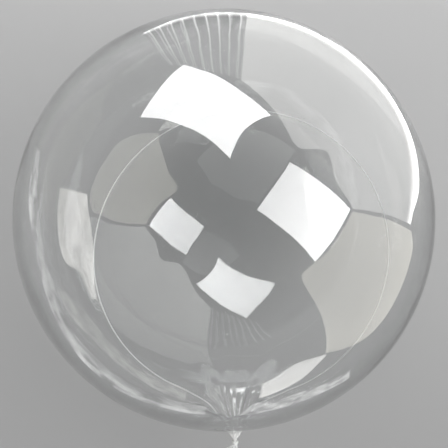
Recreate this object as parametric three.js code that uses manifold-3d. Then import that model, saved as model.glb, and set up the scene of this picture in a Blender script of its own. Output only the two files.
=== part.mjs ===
// A clear bubble balloon lying on its side: a ball of stretch film with its weld seam, its
// gathered neck and loose tail, and the thread that ties the neck. Millimetres, +Z up. The origin
// is the middle of the small flat spot that the ball rests on, and the neck points along -Y.

import * as THREE from "three";
import { mergeVertices } from "three/addons/utils/BufferGeometryUtils.js";
import Module from "manifold-3d";

const wasm = await Module();
wasm.setup();

// The ball
const BALL_RADIUS = 200;
const REST_SPOT_RADIUS = 25;
const CENTRE_HEIGHT = Math.sqrt(BALL_RADIUS ** 2 - REST_SPOT_RADIUS ** 2);
const SKIN_SIDES = 72;
const BALL_ROWS = 26;

// The neck. Distances run along its axis from the middle of the ball.
const SHOULDER_ANGLE = THREE.MathUtils.degToRad(11); // where the ball begins to draw out
const SHOULDER_FILLET = 15;
const GATHER_RADIUS = 6;
const GATHER_DISTANCE = 236;
const GATHER_PULL = 15; // how far the cone runs nearly straight before the gather
const CONE_FLARE = 9;
const NECK_ROWS = 9;
const WAIST_RADIUS = 2;
const WAIST_DISTANCE = 248;
const WAIST_LENGTH = 4.6;

// The pleats, two sets of unequal folds that deepen towards the waist
const PLEAT_COUNTS = [9, 14];
const PLEAT_SHARES = [0.6, 0.4];
const PLEAT_DEPTH = 0.2; // of the radius, at the gather
const PLEAT_START_ANGLE = THREE.MathUtils.degToRad(20);
const WAIST_PLEAT_DEPTH = 0.05;

// The loose tail of film past the waist
const TAIL_LENGTH = 56;
const TAIL_ROWS = 10;
const TAIL_HALF_WIDTH = 14;
const TAIL_FLARE_LENGTH = 12;
const TAIL_HALF_THICKNESS = 0.8;
const TAIL_FOLDS = 3;
const TAIL_FOLD_HEIGHT = 2.6;
const TAIL_SWEEP = 17; // how far its end lies to -X
const TAIL_SWEEP_LENGTH = 22;
const TAIL_DROOP = 7;

// The weld seam, a circle on the ball that passes through the neck
const SEAM_ANGLE = THREE.MathUtils.degToRad(59.4); // from the seam's pole to the seam
const SEAM_POLE_FROM_NECK = THREE.MathUtils.degToRad(61);
const SEAM_POLE_TURN = THREE.MathUtils.degToRad(8.2); // about the neck, from straight down to +X
const SEAM_BEAD_RADIUS = 1.2;
const SEAM_BEAD_SIDES = 6;
const SEAM_SINK = 0.3; // how far the bead's middle lies under the film
const SEAM_CIRCLE_POINTS = 48;
const SEAM_FLANK_POINTS = 4;
const SEAM_CLEARANCE = 1.5; // of the shoulder's angle, where the circle leaves off for the flank
const SEAM_STEPS = 88;

// The tie
const THREAD_DIAMETER = 0.95;
const TIE_TURNS = 4;
const TIE_GAP = 0.3;
const TIE_SIDES = 24;
const LOBE_POINTS = 3;
const KNOT_RADIUS = 1.5;
const KNOT_SIDES = 10;
const KNOT_ROWS = 6;

const film = new THREE.MeshStandardMaterial({
  color: 0xf2f6f7,
  roughness: 0.06,
  metalness: 0,
  transparent: true,
  opacity: 0.3,
});
const thread = new THREE.MeshStandardMaterial({
  color: 0xf4f4f0,
  roughness: 0.35,
  metalness: 0,
});

// Solids

function solidOf(geometry) {
  const bare = geometry.clone();
  bare.deleteAttribute("normal");
  bare.deleteAttribute("uv");
  const merged = mergeVertices(bare, 1e-4);
  const mesh = new wasm.Mesh({
    numProp: 3,
    vertProperties: new Float32Array(merged.attributes.position.array),
    triVerts: new Uint32Array(merged.index.array),
  });
  return new wasm.Manifold(mesh);
}

function geometryOf(solid) {
  const mesh = solid.getMesh();
  const geometry = new THREE.BufferGeometry();
  geometry.setAttribute("position", new THREE.BufferAttribute(mesh.vertProperties, 3));
  geometry.setIndex(new THREE.BufferAttribute(mesh.triVerts, 1));
  geometry.computeVertexNormals();
  return geometry;
}

// The skin's profile: x is the radius, y the place along the neck's axis, which points to -Y.

const coneCurve = new THREE.CubicBezierCurve(
  new THREE.Vector2(
    BALL_RADIUS * Math.sin(SHOULDER_ANGLE),
    -BALL_RADIUS * Math.cos(SHOULDER_ANGLE),
  ),
  new THREE.Vector2(
    BALL_RADIUS * Math.sin(SHOULDER_ANGLE) - SHOULDER_FILLET * Math.cos(SHOULDER_ANGLE),
    -BALL_RADIUS * Math.cos(SHOULDER_ANGLE) - SHOULDER_FILLET * Math.sin(SHOULDER_ANGLE),
  ),
  new THREE.Vector2(GATHER_RADIUS + CONE_FLARE, -GATHER_DISTANCE + GATHER_PULL),
  new THREE.Vector2(GATHER_RADIUS, -GATHER_DISTANCE),
);

function skinProfile() {
  const points = [];
  for (let row = 0; row < BALL_ROWS; row++) {
    const angle = Math.PI - (row / BALL_ROWS) * (Math.PI - SHOULDER_ANGLE);
    const radius = row === 0 ? 0 : BALL_RADIUS * Math.sin(angle);
    points.push(new THREE.Vector2(radius, -BALL_RADIUS * Math.cos(angle)));
  }
  points.push(...coneCurve.getPoints(NECK_ROWS));
  const waistStart = WAIST_DISTANCE - WAIST_LENGTH / 2;
  const halfWay = (GATHER_DISTANCE + waistStart) / 2;
  points.push(new THREE.Vector2((GATHER_RADIUS + WAIST_RADIUS) / 2, -halfWay));
  points.push(new THREE.Vector2(WAIST_RADIUS, -waistStart));
  for (let row = 0; row <= TAIL_ROWS; row++) {
    const along = TAIL_LENGTH * (row / TAIL_ROWS);
    points.push(new THREE.Vector2(WAIST_RADIUS, -(waistStart + WAIST_LENGTH + along)));
  }
  return points;
}

// The pleats' share of the radius at a distance along the axis and an angle about it.
function pleat(distance, radius, turn) {
  const fromAxis = Math.atan2(radius, distance);
  const nearness = THREE.MathUtils.clamp(1 - fromAxis / PLEAT_START_ANGLE, 0, 1);
  const tight = THREE.MathUtils.smoothstep(distance, GATHER_DISTANCE, WAIST_DISTANCE - WAIST_LENGTH);
  const depth = THREE.MathUtils.lerp(PLEAT_DEPTH * nearness ** 2, WAIST_PLEAT_DEPTH, tight);
  let wave = 0;
  PLEAT_COUNTS.forEach((count, i) => {
    wave += PLEAT_SHARES[i] * Math.cos(count * turn + i);
  });
  return 1 + depth * wave;
}

// The tail opens from the round waist into a flat, folded sleeve that sweeps aside and droops.
function tailPoint(along, turn, isEnd) {
  const flare = 1 - Math.exp(-along / TAIL_FLARE_LENGTH);
  const share = along / TAIL_LENGTH;
  const width = THREE.MathUtils.lerp(WAIST_RADIUS, TAIL_HALF_WIDTH, flare);
  const thickness = isEnd ? 0 : THREE.MathUtils.lerp(WAIST_RADIUS, TAIL_HALF_THICKNESS, flare);
  const across = Math.sin(turn);
  const fold = TAIL_FOLD_HEIGHT * flare * (1 - share / 2) * Math.cos(TAIL_FOLDS * Math.PI * across);
  return {
    x: width * across - TAIL_SWEEP * (1 - Math.exp(-along / TAIL_SWEEP_LENGTH)),
    z: thickness * Math.cos(turn) + fold - TAIL_DROOP * share ** 2,
  };
}

// The lathed skin, with its pleats pressed in and its tail opened out. The profile's first two
// points are one place: the tail's edge, and the line that its flat end closes on.
function skinSolid() {
  const profile = skinProfile().reverse();
  profile.unshift(profile[0].clone());
  const geometry = new THREE.LatheGeometry(profile, SKIN_SIDES);
  const position = geometry.attributes.position;
  const tailStart = WAIST_DISTANCE + WAIST_LENGTH / 2;
  for (let i = 0; i < position.count; i++) {
    const row = i % profile.length;
    const turn = (2 * Math.PI * Math.floor(i / profile.length)) / SKIN_SIDES;
    const distance = -profile[row].y;
    const radius = profile[row].x;
    if (distance > tailStart) {
      const point = tailPoint(distance - tailStart, turn, row === 0);
      position.setXYZ(i, point.x, -distance, point.z);
    } else {
      const pleated = radius * pleat(distance, radius, turn);
      position.setXYZ(i, pleated * Math.sin(turn), -distance, pleated * Math.cos(turn));
    }
  }
  geometry.translate(0, 0, CENTRE_HEIGHT);
  return solidOf(geometry);
}

// The seam runs from the gather down one flank of the cone, round the ball and up the other.
function seamPath() {
  const toNeck = new THREE.Vector3(0, -1, 0);
  const pole = new THREE.Vector3(
    Math.sin(SEAM_POLE_FROM_NECK) * Math.sin(SEAM_POLE_TURN),
    -Math.cos(SEAM_POLE_FROM_NECK),
    -Math.sin(SEAM_POLE_FROM_NECK) * Math.cos(SEAM_POLE_TURN),
  );
  const sideways = new THREE.Vector3().crossVectors(pole, toNeck).normalize();
  const onwards = new THREE.Vector3().crossVectors(sideways, pole);
  const centre = new THREE.Vector3(0, 0, CENTRE_HEIGHT);
  const points = [];

  const flank = (side, share) => {
    const profile = coneCurve.getPoint(share);
    const point = sideways.clone().multiplyScalar(side * (profile.x - SEAM_SINK));
    points.push(point.add(new THREE.Vector3(0, profile.y, 0)).add(centre));
  };
  const circle = (turn) => {
    const outward = onwards.clone().multiplyScalar(Math.cos(turn));
    outward.add(sideways.clone().multiplyScalar(Math.sin(turn)));
    outward.multiplyScalar(Math.sin(SEAM_ANGLE));
    outward.add(pole.clone().multiplyScalar(Math.cos(SEAM_ANGLE)));
    points.push(outward.multiplyScalar(BALL_RADIUS - SEAM_SINK).add(centre));
  };

  for (let i = SEAM_FLANK_POINTS; i >= 1; i--) {
    flank(1, i / (SEAM_FLANK_POINTS + 1));
  }
  const clear = (SEAM_CLEARANCE * SHOULDER_ANGLE) / Math.sin(SEAM_ANGLE);
  for (let i = 0; i <= SEAM_CIRCLE_POINTS; i++) {
    circle(THREE.MathUtils.lerp(clear, 2 * Math.PI - clear, i / SEAM_CIRCLE_POINTS));
  }
  for (let i = 1; i <= SEAM_FLANK_POINTS; i++) {
    flank(-1, i / (SEAM_FLANK_POINTS + 1));
  }
  return new THREE.CatmullRomCurve3(points);
}

function seamSolid() {
  const section = new THREE.Shape();
  for (let i = 0; i < SEAM_BEAD_SIDES; i++) {
    const angle = (2 * Math.PI * i) / SEAM_BEAD_SIDES;
    const x = SEAM_BEAD_RADIUS * Math.cos(angle);
    const y = SEAM_BEAD_RADIUS * Math.sin(angle);
    if (i === 0) section.moveTo(x, y);
    else section.lineTo(x, y);
  }
  section.closePath();
  const bead = new THREE.ExtrudeGeometry(section, {
    steps: SEAM_STEPS,
    extrudePath: seamPath(),
    bevelEnabled: false,
  });
  return solidOf(bead);
}

function bubble() {
  const floorBlock = new THREE.BoxGeometry(BALL_RADIUS, BALL_RADIUS, BALL_RADIUS);
  floorBlock.translate(0, 0, -BALL_RADIUS / 2);
  const solid = skinSolid().add(seamSolid()).subtract(solidOf(floorBlock));
  const mesh = new THREE.Mesh(geometryOf(solid), film);
  mesh.name = "bubble";
  return mesh;
}

// Turns of thread wound side by side: a lobe for each turn, on a straight inner wall.
function tieProfile() {
  const inner = WAIST_RADIUS * (1 + WAIST_PLEAT_DEPTH) + TIE_GAP;
  const threadRadius = THREAD_DIAMETER / 2;
  const width = TIE_TURNS * THREAD_DIAMETER;
  const points = [new THREE.Vector2(inner, -width / 2)];
  for (let turn = 0; turn < TIE_TURNS; turn++) {
    const middle = -width / 2 + (turn + 0.5) * THREAD_DIAMETER;
    for (let i = turn === 0 ? 0 : 1; i <= LOBE_POINTS; i++) {
      const angle = -Math.PI / 2 + (Math.PI * i) / LOBE_POINTS;
      points.push(
        new THREE.Vector2(
          inner + threadRadius * (1 + Math.cos(angle)),
          middle + threadRadius * Math.sin(angle),
        ),
      );
    }
  }
  points.push(new THREE.Vector2(inner, width / 2));
  points.push(points[0].clone());
  return points;
}

function neckTie() {
  const turns = new THREE.LatheGeometry(tieProfile(), TIE_SIDES);
  const knot = new THREE.SphereGeometry(KNOT_RADIUS, KNOT_SIDES, KNOT_ROWS);
  const knotHeight = WAIST_RADIUS + TIE_GAP + THREAD_DIAMETER + KNOT_RADIUS / 2;
  knot.translate(0, 0, knotHeight);
  const mesh = new THREE.Mesh(geometryOf(solidOf(turns).add(solidOf(knot))), thread);
  mesh.name = "neck_tie";
  mesh.position.set(0, -WAIST_DISTANCE, CENTRE_HEIGHT);
  return mesh;
}

const balloon = new THREE.Group();
balloon.name = "clear_bubble_balloon";
balloon.add(bubble(), neckTie());

export default balloon;
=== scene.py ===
"""A clear bubble balloon lying on its side: film ball, weld seam, gathered neck and tied waist.

Metres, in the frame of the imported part: +Z up, the neck along -Y, the origin under the ball.
"""
import math

import bpy
import numpy as np
from mathutils import Matrix, Vector


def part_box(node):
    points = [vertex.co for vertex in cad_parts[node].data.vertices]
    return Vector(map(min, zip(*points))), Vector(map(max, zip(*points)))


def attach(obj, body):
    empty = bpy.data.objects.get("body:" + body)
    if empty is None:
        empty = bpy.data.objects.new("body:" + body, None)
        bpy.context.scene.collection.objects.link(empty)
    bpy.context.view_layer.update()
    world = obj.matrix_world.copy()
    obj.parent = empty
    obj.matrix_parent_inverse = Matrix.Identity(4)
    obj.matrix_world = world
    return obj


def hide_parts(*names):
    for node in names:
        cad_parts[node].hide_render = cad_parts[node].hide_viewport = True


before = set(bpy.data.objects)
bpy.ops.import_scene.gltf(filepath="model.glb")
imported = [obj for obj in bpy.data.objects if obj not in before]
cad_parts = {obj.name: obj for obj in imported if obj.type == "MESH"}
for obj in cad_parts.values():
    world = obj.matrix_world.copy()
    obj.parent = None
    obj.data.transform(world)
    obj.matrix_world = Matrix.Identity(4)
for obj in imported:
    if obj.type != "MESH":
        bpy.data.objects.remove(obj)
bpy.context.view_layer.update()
bubble_low, bubble_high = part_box("bubble")
tie_low, tie_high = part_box("neck_tie")
MM = 0.001

# The ball of film, a hair inside its solid, resting on a small flat spot
INSIDE_SOLID = 0.9998
BALL_RADIUS = bubble_high.y * INSIDE_SOLID
REST_SPOT_RADIUS = 25 * MM
SPOT_EASE = 0.5 * MM
CENTRE_HEIGHT = math.sqrt(bubble_high.y ** 2 - REST_SPOT_RADIUS ** 2)
CENTRE = np.array([0.0, 0.0, CENTRE_HEIGHT])
FILM_THICKNESS = 0.14 * MM
FILM_CREASE = 60
AROUND = 240
BALL_ROWS = 96

# The neck, measured along its axis from the middle of the ball
NECK_WAY = np.array([0.0, -1.0, 0.0])
SHOULDER = math.radians(11)
SHOULDER_FILLET = 15 * MM
CONE_FLARE = 9 * MM
CONE_ROWS = 36
GATHER_RADIUS = 6 * MM
GATHER_AT = 236 * MM
GATHER_PULL = 15 * MM
GATHER_ROWS = 10
WAIST_RADIUS = 2 * MM
WAIST_AT = -(tie_low.y + tie_high.y) / 2
WAIST_LENGTH = 4.6 * MM
WAIST_START = WAIST_AT - WAIST_LENGTH / 2
WAIST_ROWS = 6
NECK_PIECE_FROM = 219 * MM
NECK_CREASE = 75
WHITE_FROM = 226 * MM
WHITE_AT = 237 * MM

# Its pleats, each set as (how many, share of the depth), and the slow waves (how many, how far,
# start) that make them uneven
PLEATS = ((7, 0.62), (12, 0.38))
PLEAT_UNEVEN = ((2, 0.16, 1.0), (3, 0.09, 2.4), (5, 0.05, 0.3))
PLEAT_DEPTH = 0.2
PLEAT_START = math.radians(36)
PLEAT_FADE = 3.2
WAIST_PLEAT_DEPTH = 0.05
FINE_PLEATS = ((31, 0.5), (47, 0.3), (22, 0.4))
FINE_PLEAT_STAGGER = 2.3
FINE_PLEAT_DEPTH = 0.03
FINE_PLEAT_WAIST_LOSS = 0.6

# The loose tail past the waist
TAIL_SHORT_OF_SOLID = 0.2 * MM
TAIL_LENGTH = -bubble_low.y - TAIL_SHORT_OF_SOLID - WAIST_AT - WAIST_LENGTH / 2
TAIL_ROWS = 44
TAIL_ROW_CROWDING = 1.3
TAIL_HALF_WIDTH = 14 * MM
TAIL_FLARE = 12 * MM
TAIL_HALF_THICKNESS = 0.8 * MM
TAIL_FOLDS = 3
TAIL_FOLD_HEIGHT = 2.6 * MM
TAIL_SWEEP = 17 * MM
TAIL_SWEEP_LENGTH = 22 * MM
TAIL_DROOP = 7 * MM
TAIL_CLEARNESS = 0.72
TAIL_CLEAR_BY = 14 * MM

# The weld seam, a circle on the ball that opens at the neck and runs up both flanks of the cone
SEAM_ANGLE = math.radians(59.4)
SEAM_POLE_FROM_NECK = math.radians(61)
SEAM_POLE_TURN = math.radians(8.2)
SEAM_OPENING = 1.5 * SHOULDER / math.sin(SEAM_ANGLE)
SEAM_CIRCLE_POINTS = 49
SEAM_FLANK_POINTS = 4
SEAM_STEPS = 720
SEAM_WIDTH = 1.8 * MM
SEAM_HEIGHT = 0.5 * MM
SEAM_ROUNDING = 1.5
SEAM_CROWN_POINTS = 9
SEAM_BASE_POINTS = 3
SEAM_LIFT = 0.03 * MM
SEAM_LEAVES_BALL_BY = 205 * MM
SEAM_FADE = (-0.002, 0.012)

# The tie
THREAD_RADIUS = 0.475 * MM
THREAD_SIDES = 12
TIE_TURNS = 3
TIE_TURN_STEPS = 60
TIE_GAP = 0.3 * MM
KNOT_RADIUS = 1.0 * MM
KNOT_THREAD = 0.42 * MM
KNOT_THICKNESS = 1.3
KNOT_STEPS = 97
KNOT_SIDES = 10
KNOT_BELOW_SOLID = 0.05 * MM


# ---------------------------------------------------------------- surfaces

def lerp(a, b, t):
    """The value a share t of the way from a to b: a + (b - a) * t."""
    return a + (b - a) * t


def smoothstep(value, low, high):
    """0 below low and 1 above high; between them 3 t squared - 2 t cubed of the share t."""
    t = np.clip((value - low) / (high - low), 0, 1)
    return t * t * (3 - 2 * t)


def unit(vectors):
    """Vectors over their own lengths."""
    return vectors / np.linalg.norm(vectors, axis=-1, keepdims=True)


def way(azimuth, elevation):
    """The unit vector at an azimuth from +X and an elevation, in radians: the cosine of the
    elevation times the azimuth's cosine and sine, and the sine of the elevation."""
    return np.stack([np.cos(elevation) * np.cos(azimuth), np.cos(elevation) * np.sin(azimuth),
                     np.sin(elevation)], -1)


def surface(name, grid, closed_across=True, closed_along=False, poles=(), caps=False,
            attributes=None, crease=None):
    """A mesh from a grid of points, rows by columns. Each cell is one quad that faces the way of
    rows times columns. The columns close into a ring if closed_across, the rows if closed_along.
    poles names the end rows (0 or -1) that are one point, and caps shuts both ends with a fan
    round their middle. The UV map is (column, row) over their numbers. attributes holds a value
    for each point of the grid, and crease is the angle, in degrees, past which an edge is sharp."""
    rows, columns = grid.shape[:2]
    points = grid.reshape(-1, 3)
    spans = columns if closed_across else columns - 1
    first = 1 if 0 in poles else 0
    last = rows - 1 - (1 if -1 in poles else 0) + (1 if closed_along else 0)
    row, column = np.meshgrid(np.arange(first, last), np.arange(spans), indexing="ij")
    below, after = (row + 1) % rows, (column + 1) % columns
    quads = np.stack([row * columns + column, below * columns + column, below * columns + after,
                      row * columns + after], -1).reshape(-1, 4)
    uv = np.stack([np.stack([column, column, column + 1, column + 1], -1) / spans,
                   np.stack([row, row + 1, row + 1, row], -1) / (rows - 1)], -1).reshape(-1, 2)
    faces = quads.tolist()
    here = np.arange(spans)
    there = (here + 1) % columns
    bottom = (rows - 1) * columns
    fans = []
    if 0 in poles:
        fans.append((0, columns + here, columns + there, 0.0))
    if -1 in poles:
        fans.append((bottom, bottom - columns + there, bottom - columns + here, 1.0))
    if caps:
        fans.append((len(points), here, there, 0.0))
        fans.append((len(points) + 1, bottom + there, bottom + here, 1.0))
        points = np.vstack([points, grid[0].mean(0), grid[-1].mean(0)])
    for tip, one, other, level in fans:
        faces += np.stack([np.full(spans, tip), one, other], -1).tolist()
        fan = np.stack([np.stack([here + 0.5, here, here + 1], -1) / spans,
                        np.full((spans, 3), level)], -1)
        uv = np.vstack([uv, fan.reshape(-1, 2)])
    mesh = bpy.data.meshes.new(name)
    mesh.from_pydata(points.tolist(), [], faces)
    mesh.uv_layers.new(name="UVMap").data.foreach_set("uv", uv.ravel().astype(np.float32))
    for key, values in (attributes or {}).items():
        flat = np.zeros(len(points), np.float32)
        flat[:rows * columns] = values.ravel()
        mesh.attributes.new(key, "FLOAT", "POINT").data.foreach_set("value", flat)
    mesh.polygons.foreach_set("use_smooth", np.ones(len(faces), bool))
    if crease:
        mesh.set_sharp_from_angle(angle=math.radians(crease))
    mesh.update()
    piece = bpy.data.objects.new(name, mesh)
    bpy.context.scene.collection.objects.link(piece)
    return piece


def walled(points, thickness):
    """The grid of a skin with its inner wall: the rows run down the outside, over the open edge and
    back up the inside, which lies one thickness in along the skin's own normal, the cross product
    of the ways down and round. At the pole, where that has no length, it is straight back."""
    down = np.gradient(points, axis=0)
    round_it = np.roll(points, -1, axis=1) - np.roll(points, 1, axis=1)
    normal = np.cross(down, round_it)
    length = np.linalg.norm(normal, axis=-1, keepdims=True)
    tiny = 1e-14
    normal = np.where(length > tiny, normal / np.maximum(length, tiny), -NECK_WAY)
    return np.concatenate([points, (points - normal * thickness)[::-1]])


def cone_profile(t):
    """Radius and distance of the cone between ball and gather: a cubic curve on four points, with
    the usual weights 1, 3, 3 and 1 times the powers of 1 - t and t. It leaves the ball along its
    skin and reaches the gather almost straight."""
    edge = np.array([math.sin(SHOULDER), math.cos(SHOULDER)]) * BALL_RADIUS
    along_skin = np.array([-math.cos(SHOULDER), math.sin(SHOULDER)]) * SHOULDER_FILLET
    hold = [edge, edge + along_skin,
            np.array([GATHER_RADIUS + CONE_FLARE, GATHER_AT - GATHER_PULL]),
            np.array([GATHER_RADIUS, GATHER_AT])]
    t = np.asarray(t, float)[..., None]
    weights = [(1 - t) ** 3, 3 * t * (1 - t) ** 2, 3 * t ** 2 * (1 - t), t ** 3]
    return sum(weight * point for weight, point in zip(weights, hold))


def skin_profile():
    """Rows of (radius, distance along the neck's axis), from the back of the ball to the tail's
    end: a circle's arc, the cone's curve, a short throat, the straight waist and the tail. The
    throat narrows by a smooth step, and the tail's rows crowd towards the waist by a power."""
    angle = np.linspace(math.pi, SHOULDER, BALL_ROWS, endpoint=False)
    ball = np.stack([np.sin(angle), np.cos(angle)], -1) * BALL_RADIUS
    ball[0, 0] = 0  # the pole, right on the axis
    cone = cone_profile(np.linspace(0, 1, CONE_ROWS, endpoint=False))
    t = np.linspace(0, 1, GATHER_ROWS, endpoint=False)
    throat = np.stack([lerp(GATHER_RADIUS, WAIST_RADIUS, smoothstep(t, 0, 1)),
                       lerp(GATHER_AT, WAIST_START, t)], -1)
    waist = np.linspace(WAIST_START, WAIST_START + WAIST_LENGTH, WAIST_ROWS, endpoint=False)
    share = np.linspace(0, 1, TAIL_ROWS) ** TAIL_ROW_CROWDING
    tail = WAIST_START + WAIST_LENGTH + TAIL_LENGTH * share
    straight = np.r_[waist, tail]
    return np.vstack([ball, cone, throat,
                      np.stack([np.full_like(straight, WAIST_RADIUS), straight], -1)])


def pleats(radius, distance, turn):
    """What the pleats scale a radius by: 1 + depth * wave. wave sums cosines of the turn times each
    pleat count, and depth grows with a power of the nearness to the neck. A few slow sines of the
    turn, added to it before the cosines, make the pleats of uneven width. The fine pleats are a
    second such sum less one, so that they cut mostly inwards."""
    from_axis = np.where(distance > 0, np.arctan2(radius, np.maximum(distance, 1e-9)), math.pi)
    nearness = np.clip(1 - from_axis / PLEAT_START, 0, 1)
    tight = smoothstep(distance, GATHER_AT, WAIST_START)
    depth = lerp(PLEAT_DEPTH * nearness ** PLEAT_FADE, WAIST_PLEAT_DEPTH, tight)
    uneven = turn + sum(far * np.sin(count * turn + start) for count, far, start in PLEAT_UNEVEN)
    wave = sum(share * np.cos(count * uneven + i) for i, (count, share) in enumerate(PLEATS))
    fine = sum(share * np.cos(count * uneven + FINE_PLEAT_STAGGER * i)
               for i, (count, share) in enumerate(FINE_PLEATS))
    fine_depth = FINE_PLEAT_DEPTH * nearness ** (2 * PLEAT_FADE)
    fine_depth = fine_depth * (1 - FINE_PLEAT_WAIST_LOSS * tight)
    return 1 + depth * wave + fine_depth * (fine - 1)


def tail_sleeve(along, turn):
    """X and Z of the tail, a flat folded sleeve. Its width and thickness leave the waist's as
    1 - exp(-distance / flare). Across it goes the sine of the turn, and through it the cosine and
    a cosine fold. It sweeps aside in the same way, and droops with the square of the distance."""
    share = along / TAIL_LENGTH
    flare = 1 - np.exp(-along / TAIL_FLARE)
    width = lerp(WAIST_RADIUS, TAIL_HALF_WIDTH, flare)
    thickness = lerp(WAIST_RADIUS, TAIL_HALF_THICKNESS, flare)
    across = np.sin(turn)
    fold = TAIL_FOLD_HEIGHT * flare * (1 - share / 2) * np.cos(TAIL_FOLDS * math.pi * across)
    x = width * across - TAIL_SWEEP * (1 - np.exp(-along / TAIL_SWEEP_LENGTH))
    z = thickness * np.cos(turn) + fold - TAIL_DROOP * share ** 2
    return x, z


def film_points():
    """The film's skin: the profile turned about the neck's axis, each radius scaled by the pleats,
    and past the waist the tail's sleeve. Near the floor a height z becomes the square of
    z + ease over 4 ease, so the skin runs into a flat spot. Also how gathered the film is at each
    point, from 0 to 1, and each row's distance along the axis."""
    profile = skin_profile()
    radius, distance = profile[:, :1], profile[:, 1:]
    turn = np.linspace(0, 2 * math.pi, AROUND, endpoint=False)[None, :]
    pleated = radius * pleats(radius, distance, turn)
    along = np.clip(distance - WAIST_AT - WAIST_LENGTH / 2, 0, None)
    tail_x, tail_z = tail_sleeve(along, turn)
    x = np.where(along > 0, tail_x, pleated * np.sin(turn))
    y = np.broadcast_to(-distance, x.shape)
    z = np.where(along > 0, tail_z, pleated * np.cos(turn)) + CENTRE_HEIGHT
    z = np.where(z > SPOT_EASE, z, np.clip(z + SPOT_EASE, 0, None) ** 2 / (4 * SPOT_EASE))
    gather = smoothstep(distance, WHITE_FROM, WHITE_AT)
    gather = gather * (1 - TAIL_CLEARNESS * smoothstep(along, 0, TAIL_CLEAR_BY))
    return np.stack([x, y, z], -1), np.broadcast_to(gather, x.shape), distance[:, 0]


def seam_frame():
    """The seam circle's pole, the way across the neck and the way on towards it. The pole is the
    way at its angle from the neck, turned a little about the neck's axis from straight down, and
    the others are its cross products with the neck's way and with each other."""
    pole = np.array([
        math.sin(SEAM_POLE_FROM_NECK) * math.sin(SEAM_POLE_TURN),
        -math.cos(SEAM_POLE_FROM_NECK),
        -math.sin(SEAM_POLE_FROM_NECK) * math.cos(SEAM_POLE_TURN),
    ])
    sideways = unit(np.cross(pole, NECK_WAY))
    return pole, sideways, np.cross(sideways, pole)


def seam_path():
    """Points along the weld: down one flank of the cone, round the circle that lies SEAM_ANGLE from
    its pole, and up the other flank, set out or in by the pleats that it crosses. The circle stops
    one and a half shoulders short of the neck's axis on each side."""
    pole, sideways, onwards = seam_frame()
    turn = np.linspace(SEAM_OPENING, 2 * math.pi - SEAM_OPENING, SEAM_CIRCLE_POINTS)[:, None]
    circle = math.sin(SEAM_ANGLE) * (np.cos(turn) * onwards + np.sin(turn) * sideways)
    circle = (circle + math.cos(SEAM_ANGLE) * pole) * BALL_RADIUS
    profile = cone_profile(np.arange(SEAM_FLANK_POINTS, 0, -1) / (SEAM_FLANK_POINTS + 1))
    flank = profile[:, 1:] * NECK_WAY + profile[:, :1] * sideways
    other = (profile[:, 1:] * NECK_WAY - profile[:, :1] * sideways)[::-1]
    path = catmull_rom(np.vstack([flank, circle, other]), SEAM_STEPS)
    x, y, z = path.T
    scale = pleats(np.hypot(x, z), -y, np.arctan2(x, z))
    return np.stack([x * scale, y, z * scale], -1)


def catmull_rom(points, steps):
    """A smooth path through points at even steps of length: between two of them, a cubic whose
    slope at each is half the step from the point before it to the point after."""
    samples_per_span = 24
    padded = np.vstack([2 * points[0] - points[1], points, 2 * points[-1] - points[-2]])
    spans = len(points) - 1
    t = np.linspace(0, spans, spans * samples_per_span + 1)
    span = np.minimum(t.astype(int), spans - 1)
    t = (t - span)[:, None]
    before, start, end, after = (padded[span + k] for k in range(4))
    path = 0.5 * (2 * start + (end - before) * t
                  + (2 * before - 5 * start + 4 * end - after) * t ** 2
                  + (3 * start - before - 3 * end + after) * t ** 3)
    length = np.r_[0, np.cumsum(np.linalg.norm(np.diff(path, axis=0), axis=1))]
    even = np.linspace(0, length[-1], steps)
    return np.stack([np.interp(even, length, column) for column in path.T], -1)


def carried(path, outward, section):
    """A section of (sideways, outward) offsets carried along a path: each point is the path's plus
    one offset times the sideways way and one times the outward way. Sideways is square to both the
    path and the outward way. section is one ring of offsets, or one ring for each step."""
    tangent = unit(np.gradient(path, axis=0))
    side = unit(np.cross(tangent, outward))
    out = np.cross(side, tangent)
    section = np.broadcast_to(section, (len(path),) + section.shape[-2:])
    return path[:, None] + section[..., :1] * side[:, None] + section[..., 1:] * out[:, None]


def ring_section(radius, sides):
    """A circle of offsets: the radius times the cosine and the sine of each even turn."""
    angle = np.linspace(0, 2 * math.pi, sides, endpoint=False)
    return np.stack([np.cos(angle), np.sin(angle)], -1) * radius


# ---------------------------------------------------------------- pieces of the balloon

def make_film():
    """The ball with its cone, closed by a pole at the back, and the gathered neck with its tail,
    which goes on from the same row of points. Both have an outer and an inner wall: the neck's
    rows come back to where they began, and the ball's end at a second pole inside the first."""
    points, gather, distance = film_points()
    skin = walled(points, FILM_THICKNESS)
    gather = np.concatenate([gather, gather[::-1]])
    rows = len(points)
    split = int(np.searchsorted(distance, NECK_PIECE_FROM))
    ball_rows = np.r_[:split + 1, 2 * rows - 1 - split:2 * rows]
    neck_rows = np.r_[split:2 * rows - split]
    film = surface("bubble_film", skin[ball_rows], poles=(0, -1), crease=FILM_CREASE)
    neck = surface("neck_and_tail", skin[neck_rows], closed_along=True,
                   attributes={"gather": gather[neck_rows]}, crease=NECK_CREASE)
    return film, neck


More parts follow.
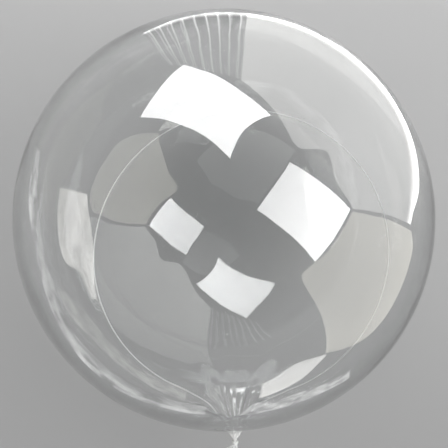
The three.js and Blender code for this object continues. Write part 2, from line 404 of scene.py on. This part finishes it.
def make_weld_seam():
    """A low rounded bead along the seam. Its section is flat below, and its crown rises as a power
    of the sine of an angle whose cosine goes across it. It fades to nothing at both ends, between
    the shares of its length in SEAM_FADE, where the neck's folds swallow it."""
    path = seam_path()
    from_axis = path * np.array([1.0, 0.0, 1.0])
    on_cone = smoothstep(-path[:, 1:2], math.cos(SHOULDER) * BALL_RADIUS, SEAM_LEAVES_BALL_BY)
    outward = unit(lerp(unit(path), unit(from_axis), on_cone))
    angle = np.linspace(0, math.pi, SEAM_CROWN_POINTS)
    crown = np.stack([np.cos(angle) * SEAM_WIDTH / 2,
                      np.sin(angle) ** SEAM_ROUNDING * SEAM_HEIGHT], -1)
    base = np.zeros((SEAM_BASE_POINTS, 2))
    base[:, 0] = np.linspace(-1, 1, SEAM_BASE_POINTS + 2)[1:-1] * SEAM_WIDTH / 2
    step = np.arange(len(path)) / (len(path) - 1)
    fade = smoothstep(np.minimum(step, 1 - step), *SEAM_FADE)[:, None, None]
    section = np.vstack([crown, base]) * fade + np.array([0.0, SEAM_LIFT])
    return surface("weld_seam", carried(path, outward, section) + CENTRE, caps=True)


def make_neck_tie():
    """The thread: a helix of a few turns side by side round the waist, and a small overhand knot on
    it, which is a trefoil: (sin s + 2 sin 2s, cos s - 2 cos 2s, -thickness * sin 3s)."""
    middle = CENTRE + WAIST_AT * NECK_WAY
    winding = WAIST_RADIUS * (1 + WAIST_PLEAT_DEPTH) + TIE_GAP + THREAD_RADIUS
    half = (tie_high.y - tie_low.y) / 2 - THREAD_RADIUS
    t = np.linspace(0, 1, TIE_TURN_STEPS * TIE_TURNS + 1)
    angle = 2 * math.pi * TIE_TURNS * t
    spoke = np.stack([np.sin(angle), np.zeros_like(t), np.cos(angle)], -1)
    path = spoke * winding - NECK_WAY * lerp(-half, half, t)[:, None]
    coil = carried(path, spoke, ring_section(THREAD_RADIUS, THREAD_SIDES))
    s = np.linspace(0, 2 * math.pi, KNOT_STEPS)
    trefoil = np.stack([np.sin(s) + 2 * np.sin(2 * s), np.cos(s) - 2 * np.cos(2 * s),
                        -KNOT_THICKNESS * np.sin(3 * s)], -1) * KNOT_RADIUS / 3
    outward = np.stack([np.sin(s), np.cos(s), np.full_like(s, 2.0)], -1)
    knot = carried(trefoil, outward, ring_section(KNOT_THREAD, KNOT_SIDES))
    knot_height = tie_high.z - CENTRE_HEIGHT - KNOT_RADIUS - KNOT_THREAD - KNOT_BELOW_SOLID
    return [surface("neck_tie_winding", coil + middle, caps=True),
            surface("neck_tie_knot", knot + middle + np.array([0.0, 0.0, knot_height]), caps=True)]


# ---------------------------------------------------------------- shader maths

class Value:
    """A shader's value. Arithmetic on it adds Math nodes."""

    def __init__(self, recipe, socket):
        self.recipe = recipe
        self.socket = socket

    def output(self, name):
        """Another output of the same node."""
        return Value(self.recipe, self.socket.node.outputs[name])

    def math(self, operation, *others):
        return self.recipe.add("Math", {"operation": operation}, dict(enumerate((self, *others))))

    def __add__(self, other):
        return self.math("ADD", other)

    def __sub__(self, other):
        return self.math("SUBTRACT", other)

    def __rsub__(self, other):
        return self.recipe.add("Math", {"operation": "SUBTRACT"}, {0: other, 1: self})

    def __mul__(self, other):
        return self.math("MULTIPLY", other)

    def __pow__(self, other):
        return self.math("POWER", other)

    def __gt__(self, other):
        return self.math("GREATER_THAN", other)

    __radd__ = __add__
    __rmul__ = __mul__

    def eased(self, low, high):
        """0 below low, 1 above high, and smooth between."""
        return self.recipe.add("MapRange", {"interpolation_type": "SMOOTHSTEP"},
                               {"Value": self, "From Min": low, "From Max": high})


class Recipe:
    """One material and its nodes."""

    def __init__(self, name):
        self.material = bpy.data.materials.new(name)
        self.material.use_nodes = True
        self.tree = self.material.node_tree
        self.tree.nodes.clear()

    def add(self, kind, settings=None, values=None, output=0):
        """A node of one kind: its settings first, then its sockets' values or links. Gives one of
        its outputs, if it has any."""
        node = self.tree.nodes.new("ShaderNode" + kind)
        for key, setting in (settings or {}).items():
            setattr(node, key, setting)
        for key, value in (values or {}).items():
            if isinstance(value, Value):
                self.tree.links.new(value.socket, node.inputs[key])
            else:
                node.inputs[key].default_value = value
        return Value(self, node.outputs[output]) if node.outputs else None

    def places(self):
        """Places on the piece, in metres, by its Object coordinates."""
        return self.add("TexCoord", output="Object")

    def round_sleeve(self, across, along):
        """A place on a cylinder by the UV map: the cosine and the sine of its turn, times across,
        and its height, times along."""
        place = self.add("SeparateXYZ", None, {0: self.add("TexCoord", output="UV")})
        turn = place.output("X") * (2 * math.pi)
        return self.add("CombineXYZ", None, {0: turn.math("COSINE") * across,
                                             1: turn.math("SINE") * across,
                                             2: place.output("Y") * along})

    def noise(self, places, scale, detail=2.0, roughness=0.5):
        return self.add("TexNoise", None, {"Vector": places, "Scale": scale, "Detail": detail,
                                           "Roughness": roughness})

    def relief(self, height, strength, distance):
        """The normal of a surface that a height lifts by up to a distance, in metres."""
        return self.add("Bump", None, {"Strength": strength, "Distance": distance,
                                       "Height": height})

    def blend(self, share, one, other):
        """A colour between two, by a share."""
        return self.add("Mix", {"data_type": "RGBA"}, {0: share, 6: one, 7: other}, output=2)

    def tinted(self, level, colour):
        """A colour times a level, which may pass 1."""
        return self.add("CombineColor", None, {i: level * colour[i] for i in range(3)})

    def finish(self, shader):
        """The material, with this shader as its surface."""
        self.add("OutputMaterial", None, {"Surface": shader})
        return self.material


def grey(level, warmth=0.0):
    """A grey that leans to red and away from blue by its warmth."""
    return (level * (1 + warmth), level * (1 + warmth / 2), level * (1 - warmth), 1.0)


# ---------------------------------------------------------------- finishes

def film_glass(film, painted_rim_shade, haze=0.0, folds=0.0):
    """Glass-clear stretch film: nearly colourless, glossy, with faint smears, a few dust specks and
    slow waves in its skin. Seen edge-on, its colour turns to the tint given after the recipe, a
    painted shade that darkens its outline. haze adds to its roughness and folds to its relief."""
    here = film.places()
    facing = film.add("LayerWeight", None, {"Blend": 0.5}, output="Facing")
    smears = film.noise(here, 14.0, 4.0, 0.6).eased(0.5, 0.72)
    cells = film.add("TexVoronoi", {"feature": "F1"}, {"Vector": here, "Scale": 38.0})
    chosen = film.add("TexWhiteNoise", {"noise_dimensions": "3D"},
                      {"Vector": cells.output("Position")}, output="Value") > 0.6
    dust = (1 - cells.output("Distance").eased(0.016, 0.028)) * chosen
    # Painted shade: the colour darkens towards the given tint where the film is seen edge-on, so
    # its outline shows dark
    colour = film.blend(facing.eased(0.55, 0.97), (0.965, 0.97, 0.97, 1), painted_rim_shade)
    colour = film.blend(dust, colour, (0.55, 0.55, 0.54, 1))
    waves = film.noise(here, 7.0, 1.0, 0.4) + film.noise(here, 17.0, 1.0, 0.4) * 0.22
    return film.add("BsdfPrincipled", None, {
        "Base Color": colour,
        "Roughness": 0.004 + smears * 0.018 + dust * 0.6 + haze,
        "Normal": film.relief(waves + folds, 0.5, 0.004),
        "Transmission Weight": 1.0,
        "IOR": 1.5})


def clear_film():
    """The ball's film. Lamps shine through it and leave a faint, soft shadow."""
    film = Recipe("clear_film")
    # Its edge-on tint, a mid grey, is painted shade that draws the ball's dark outline
    glass = film_glass(film, (0.5, 0.51, 0.51, 1))
    passed = film.add("BsdfTransparent", None, {"Color": (0.91, 0.915, 0.915, 1)})
    to_lamp = film.add("LightPath", output="Is Shadow Ray")
    return film.finish(film.add("MixShader", None, {0: to_lamp, 1: glass, 2: passed}))


def gathered_film():
    """The neck's film: clear where it leaves the ball, and white in long streaks where many folds
    lie on each other, most at the gather and least in the tail. The streaks run along the sleeve,
    by its UV map."""
    film = Recipe("gathered_film")
    gather = film.add("Attribute", {"attribute_name": "gather"}, output="Fac")
    streaks = film.noise(film.round_sleeve(11.0, 7.0), 1.0, 3.0, 0.6)
    # Its edge-on tint, a light grey, is a milder painted shade along the neck's outline
    glass = film_glass(film, (0.82, 0.83, 0.83, 1), haze=gather * (0.06 + streaks * 0.2),
                       folds=streaks * 0.09)
    milk = film.add("BsdfPrincipled", None, {
        "Base Color": film.blend(streaks, (0.90, 0.90, 0.89, 1), (0.99, 0.99, 0.98, 1)),
        "Roughness": 0.18 + streaks * 0.2,
        "Normal": film.relief(streaks, 0.6, 0.0006),
        "Transmission Weight": 0.1,
        "IOR": 1.5})
    share = gather * (0.35 + streaks.eased(0.34, 0.56) * 0.65)
    return film.finish(film.add("MixShader", None, {0: share, 1: glass, 2: milk}))


def welded_film():
    """The weld's bead: two films melted into one, a little milky, with a fine crimp along it."""
    weld = Recipe("welded_film")
    here = weld.places()
    crimp = weld.noise(here, 420.0, 2.0, 0.6)
    cloud = weld.noise(here, 60.0, 3.0, 0.5)
    return weld.finish(weld.add("BsdfPrincipled", None, {
        "Base Color": weld.blend(cloud, (0.96, 0.965, 0.965, 1), (0.995, 0.995, 0.99, 1)),
        "Roughness": 0.12 + crimp * 0.15,
        "Normal": weld.relief(crimp, 0.4, 0.0004),
        "Transmission Weight": 0.05,
        "IOR": 1.5}))


def tie_thread():
    """Fine twisted thread: whitish, with a soft shine and slanting strands."""
    thread = Recipe("tie_thread")
    here = thread.places()
    strands = thread.add("TexWave", {"wave_type": "BANDS", "bands_direction": "DIAGONAL"}, {
        "Vector": here, "Scale": 1600.0, "Distortion": 1.5, "Detail": 1.0}, output="Fac")
    cloud = thread.noise(here, 700.0)
    return thread.finish(thread.add("BsdfPrincipled", None, {
        "Base Color": thread.blend(cloud, (0.80, 0.80, 0.77, 1), (0.93, 0.93, 0.90, 1)),
        "Roughness": 0.3 + strands * 0.15,
        "Normal": thread.relief(strands, 0.5, 0.0001),
        "Subsurface Weight": 0.1}))


def studio_floor():
    """Plain pale matt paper, with the faintest mottle."""
    paper = Recipe("studio_floor")
    here = paper.places()
    mottle = paper.noise(here, 3.0, 3.0, 0.5)
    grain = paper.noise(here, 900.0, 2.0, 0.6)
    return paper.finish(paper.add("BsdfPrincipled", None, {
        "Base Color": paper.blend(mottle, grey(0.315), grey(0.335)),
        "Roughness": 0.9,
        "Normal": paper.relief(grain, 0.08, 0.0005),
        "Specular IOR Level": 0.2}))


# ---------------------------------------------------------------- studio

# The film has mirrored a ray once its count of mirrorings is above MIRRORED. The far side did so
# where its count of ways into and out of the film is above THROUGH_NEAR_SIDE.
MIRRORED = 0.5
THROUGH_NEAR_SIDE = 2.5

PANEL_REACH = 1.0
PANEL_OVER_FLOOR = 4 * MM
PANEL_ROWS = 33
PANEL_COLUMNS = 65
SOFTBOX_POINTS = 25
SOFTBOX_FACE_GAP = 4 * MM
SOFTBOX_FALL_OFF = 0.15
WINDOW_RADIANCE = 9.0
LAMP_SHARE = 0.67
FOLD_SHORTNESS = 1.5
CORD_FINENESS = 40
OVERHEAD_SIZE = 20.0
OVERHEAD_HEIGHT = 5.0
OVERHEAD_WATTS = 800.0
FLOOR_RADIUS = 9.0
FLOOR_RINGS = 19
FLOOR_SPOKES = 96
FLOOR_BELOW = 0.1 * MM
CAMERA_TILT = math.radians(12.5)
CAMERA_ROLL = math.radians(-2.9)
CAMERA_DISTANCE = 3 * bubble_high.y
CAMERA_VIEW = math.radians(41.01)
CAMERA_SHIFT = -0.0087


def glow(name, low, high, warmth=0.0, foot=None, streaks=None, cords=None, far_only=False):
    """The face of a panel as the film mirrors it: it glows only where a ray has been mirrored. Its
    radiance goes from low to high up the panel. foot is (radiance, share of the height) of a bright
    foot that only the film's near side mirrors, streaks is (how many across, how deep) of soft
    upright folds, and cords is (how many across, radiance) of thin bright upright lines. far_only
    leaves it to the film's far side alone."""
    face = Recipe(name)
    mirrored = face.add("LightPath", output="Glossy Depth") > MIRRORED
    far_side = face.add("LightPath", output="Transmission Depth") > THROUGH_NEAR_SIDE
    place = face.add("SeparateXYZ", None, {0: face.add("TexCoord", output="UV")})
    across, height = place.output("X"), place.output("Y")
    radiance = low + height * (high - low)
    if foot:
        foot_radiance, foot_height = foot
        radiance = radiance + (1 - height.eased(0.0, foot_height)) * (1 - far_side) * foot_radiance
    if streaks:
        count, depth = streaks
        drape = face.add("CombineXYZ", None, {0: across * count, 1: height * FOLD_SHORTNESS})
        folds = face.noise(drape, 1.0, 3.0, 0.6)
        radiance = radiance * (1 + (folds.eased(0.35, 0.65) - 1) * depth)
    if cords:
        count, cord_radiance = cords
        cord = (across * (math.pi * count)).math("SINE") ** CORD_FINENESS
        radiance = radiance + cord * cord_radiance
    if far_only:
        mirrored = mirrored * far_side
    light = face.add("Emission", None, {"Color": face.tinted(radiance, grey(1.0, warmth))})
    clear = face.add("BsdfTransparent")
    face.material.cycles.emission_sampling = "NONE"
    return face.finish(face.add("MixShader", None, {0: mirrored, 1: clear, 2: light}))


def unseen(thing, *rays):
    """Hides a thing from some kinds of ray."""
    for ray in rays:
        setattr(thing, "visible_" + ray, False)


def standing(position, ways):
    """The matrix that puts a thing at a position, with its X, Y and Z along three unit ways."""
    turn = Matrix([Vector(each) for each in ways]).transposed().to_4x4()
    return Matrix.Translation(Vector(position)) @ turn


def area_lamp(name, width, height, watts, position, ways):
    """A lamp that lights only what is matt: the film mirrors the glowing faces instead."""
    lamp = bpy.data.lights.new(name, "AREA")
    lamp.shape = "RECTANGLE"
    lamp.size = width
    lamp.size_y = height
    lamp.energy = watts
    holder = bpy.data.objects.new(name, lamp)
    holder.matrix_world = standing(position, ways)
    unseen(holder, "camera", "glossy", "transmission")
    bpy.context.scene.collection.objects.link(holder)


def glowing_face(name, grid, material):
    """A panel's face, which only the film mirrors."""
    face = surface(name, grid, closed_across=False)
    face.data.materials.append(material)
    unseen(face, "camera", "diffuse", "shadow")


def hung_panel(name, foot, head, material):
    """A curved sheet of soft light, one metre from the ball's middle. foot and head are the few
    (azimuth, elevation) in degrees that its lower and upper edge pass, seen from there. Where it
    would dip under the floor it lies just over it, so its reach is the lesser of the two."""
    t = np.linspace(0, 1, PANEL_ROWS)[:, None, None]
    edges = np.radians(lerp(catmull_rom(np.array(foot, float), PANEL_COLUMNS),
                            catmull_rom(np.array(head, float), PANEL_COLUMNS), t))
    ways = way(edges[..., 0], edges[..., 1])
    down = np.maximum(-ways[..., 2:], 1e-6)
    reach = np.minimum(PANEL_REACH, (CENTRE_HEIGHT - PANEL_OVER_FLOOR) / down)
    glowing_face(name, CENTRE + ways * reach, material)


def softbox(name, middle, facing, roll, width, height, radiance, drawn_in):
    """A flat panel of soft light: a lamp lights the floor, and a glowing face is what the film
    mirrors. middle is its azimuth and elevation, in degrees, and its distance from the ball's
    middle. facing is the azimuth and elevation that its back points to, and roll its turn about
    that way, in degrees. drawn_in is how far the middle of each side (left, right, foot, head) is
    drawn in, as a share of the half size: side * (1 - share * (1 - place along it squared))."""
    azimuth, elevation, distance = middle
    middle = CENTRE + way(*np.radians((azimuth, elevation))) * distance
    azimuth, elevation = np.radians(facing)
    back = way(azimuth, elevation)
    level, upright = way(azimuth + math.pi / 2, 0.0), way(azimuth, elevation + math.pi / 2)
    across = level * math.cos(math.radians(roll)) + upright * math.sin(math.radians(roll))
    up = np.cross(back, across)
    watts = math.pi * width * height * radiance * LAMP_SHARE
    area_lamp(name, width, height, watts, middle, (across, up, back))
    even = np.linspace(-1, 1, SOFTBOX_POINTS)
    s, t = np.meshgrid(even, even, indexing="ij")
    left, right, foot, head = drawn_in
    wide = s * (1 - np.where(s < 0, left, right) * (1 - t ** 2)) * width / 2
    high = t * (1 - np.where(t < 0, foot, head) * (1 - s ** 2)) * height / 2
    grid = middle + back * SOFTBOX_FACE_GAP + wide[..., None] * across + high[..., None] * up
    glowing_face(name + "_face", grid, glow(name + "_glow", radiance * (1 - SOFTBOX_FALL_OFF),
                                            radiance * (1 + SOFTBOX_FALL_OFF)))


def make_panels():
    """The room that the film mirrors: two windows, and walls, screens and strips between them."""
    softbox("window_left", (94, 27, 0.784), (102, 25), 135, 0.634, 0.416, WINDOW_RADIANCE,
            (0.0, 0.15, 0.13, 0.03))
    softbox("window_right", (21, 52, 0.822), (17, 51), 208, 0.50, 0.39, WINDOW_RADIANCE,
            (0.0, 0.0, 0.07, 0.0))
    wall_foot = [(-6, -8), (6, -19), (25, -27), (50, -30), (80, -31)]
    hung_panel("wall_right", wall_foot, [(9, 30), (25, 33), (38, 28), (50, 35), (65, 25), (80, 12)],
               glow("wall_right_glow", 1.1, 2.6, 0.01, foot=(4.5, 0.10)))
    hung_panel("sheen_right", [(-6, -50), (15, -66), (37, -71), (80, -71)], wall_foot,
               glow("sheen_right_glow", 0.9, 1.6, 0.01, far_only=True))
    hung_panel("wall_near_right", [(-8, -8), (-17, -10), (-40, 0), (-54, 17)],
               [(8, 31), (-6, 44), (-28, 54), (-54, 18)],
               glow("wall_near_right_glow", 1.5, 2.2, 0.07))
    hung_panel("curtain_back", [(80, -31), (95, -30), (112, -27)], [(80, 12), (93, 6), (106, -3)],
               glow("curtain_back_glow", 0.5, 0.7, foot=(2.5, 0.10), streaks=(5.0, 0.4),
                    cords=(9, 1.5)))
    hung_panel("screen_left", [(165, 5), (188, 11), (193, 20), (204, 22)],
               [(162, 22), (178, 29), (191, 29), (204, 25)],
               glow("screen_left_glow", 2.6, 4.2, 0.03, streaks=(3.0, 0.45)))
    hung_panel("strip_left", [(160, -22), (172, -17), (192, -11), (232, -13), (262, -5)],
               [(160, -18), (172, -10), (202, 1), (214, -3), (262, 5)],
               glow("strip_left_glow", 1.6, 0.9, streaks=(9.0, 0.8)))
    hung_panel("strip_near_left", [(200, 0), (222, 8), (255, 6)], [(200, 7), (212, 16), (255, 15)],
               glow("strip_near_left_glow", 1.2, 0.9, 0.02, streaks=(7.0, 0.6)))
    hung_panel("screen_near", [(-82, 8), (-70, 11), (-55, 16)], [(-80, 19), (-65, 23), (-55, 17)],
               glow("screen_near_glow", 3.0, 2.6, 0.02))
    hung_panel("strip_near", [(-88, -6), (-72, -9), (-57, -14)], [(-84, 4), (-70, 1), (-55, -8)],
               glow("strip_near_glow", 1.8, 1.4, streaks=(5.0, 0.7)))
    hung_panel("ceiling", [(50, 37), (76, 37), (106, 50)], [(50, 66), (76, 68), (100, 62)],
               glow("ceiling_glow", 0.9, 0.7))


def make_studio():
    """The paper floor, a disc whose points lie at even distances and even turns, the even grey
    round it and the wide lamp overhead."""
    reach = np.linspace(0, FLOOR_RADIUS, FLOOR_RINGS)[:, None, None]
    turn = np.linspace(0, 2 * math.pi, FLOOR_SPOKES, endpoint=False)
    disc = reach * way(turn, np.zeros_like(turn)) - [0, 0, FLOOR_BELOW]
    floor = surface("floor", disc, poles=(0,))
    floor.data.materials.append(studio_floor())
    world = bpy.data.worlds.new("studio")
    world.use_nodes = True
    world.node_tree.nodes["Background"].inputs["Color"].default_value = grey(0.32)
    bpy.context.scene.world = world
    area_lamp("overhead", OVERHEAD_SIZE, OVERHEAD_SIZE, OVERHEAD_WATTS, (0, 0, OVERHEAD_HEIGHT),
              np.eye(3))


def make_camera():
    """The camera looks down on the ball from three radii away, tilted a little off the vertical and
    rolled a little about its own axis."""
    back = Vector((0, math.sin(CAMERA_TILT), math.cos(CAMERA_TILT)))
    upright = Vector((0, math.cos(CAMERA_TILT), -math.sin(CAMERA_TILT)))
    level = Vector((1, 0, 0))
    right = level * math.cos(CAMERA_ROLL) + upright * math.sin(CAMERA_ROLL)
    up = upright * math.cos(CAMERA_ROLL) - level * math.sin(CAMERA_ROLL)
    camera = bpy.data.cameras.new("camera")
    camera.angle = CAMERA_VIEW
    camera.shift_y = CAMERA_SHIFT
    camera.clip_start = 0.01
    camera.clip_end = 60
    holder = bpy.data.objects.new("camera", camera)
    holder.matrix_world = standing(Vector(CENTRE) + back * CAMERA_DISTANCE, (right, up, back))
    bpy.context.scene.collection.objects.link(holder)
    bpy.context.scene.camera = holder


def set_light_paths():
    """Plain tones, and enough bounces for light to go through the film's walls and be mirrored
    inside them."""
    scene = bpy.context.scene
    scene.view_settings.view_transform = "Standard"
    scene.cycles.caustics_reflective = False
    scene.cycles.caustics_refractive = True
    scene.cycles.max_bounces = 24
    scene.cycles.transmission_bounces = 24
    scene.cycles.transparent_max_bounces = 24
    scene.cycles.glossy_bounces = 12
    scene.cycles.diffuse_bounces = 3


# ---------------------------------------------------------------- the balloon

bubble_film, neck_and_tail = make_film()
bubble_film.data.materials.append(clear_film())
neck_and_tail.data.materials.append(gathered_film())
weld_seam = make_weld_seam()
weld_seam.data.materials.append(welded_film())
for piece in (bubble_film, neck_and_tail, weld_seam):
    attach(piece, "root")
    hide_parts("bubble")
thread_finish = tie_thread()
for piece in make_neck_tie():
    piece.data.materials.append(thread_finish)
    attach(piece, "root")
    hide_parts("neck_tie")

make_studio()
make_panels()
make_camera()
set_light_paths()
